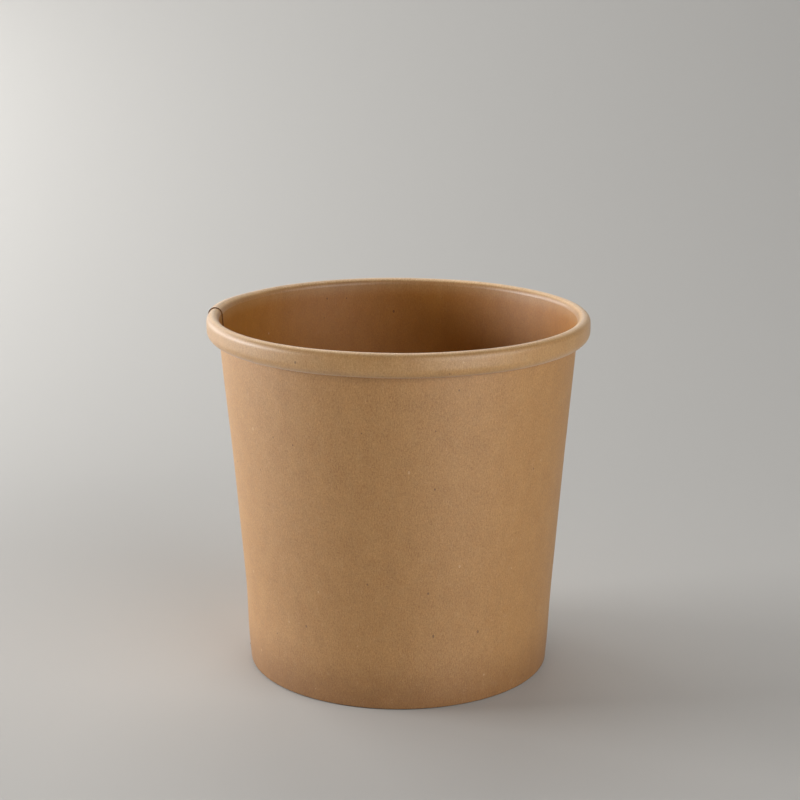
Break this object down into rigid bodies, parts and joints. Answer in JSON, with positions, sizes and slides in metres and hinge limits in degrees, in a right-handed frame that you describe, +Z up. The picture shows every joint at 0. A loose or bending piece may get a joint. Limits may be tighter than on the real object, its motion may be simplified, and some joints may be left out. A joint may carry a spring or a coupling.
{
  "type": "paper soup bowl",
  "caption": "Tapered kraft paper soup bowl with a rolled rim, a lapped side seam and a recessed flat base.",
  "frame": {"origin": "on the bowl's axis, in the plane of the foot that it stands on", "axes": "+Z up along the bowl's axis, out of the mouth; -Y towards the viewer of the picture, with the side seam near -X"},
  "size_m": [0.1183, 0.118, 0.1119],
  "materials": {
    "kraft_board": "unbleached kraft board, matt, fine fibres and a few dark flecks",
    "base_board": "unbleached kraft board, matt, a little darker"
  },
  "bodies": {
    "root": {"sidewall": "kraft_board", "base_disc": "base_board"}
  },
  "joints": []
}
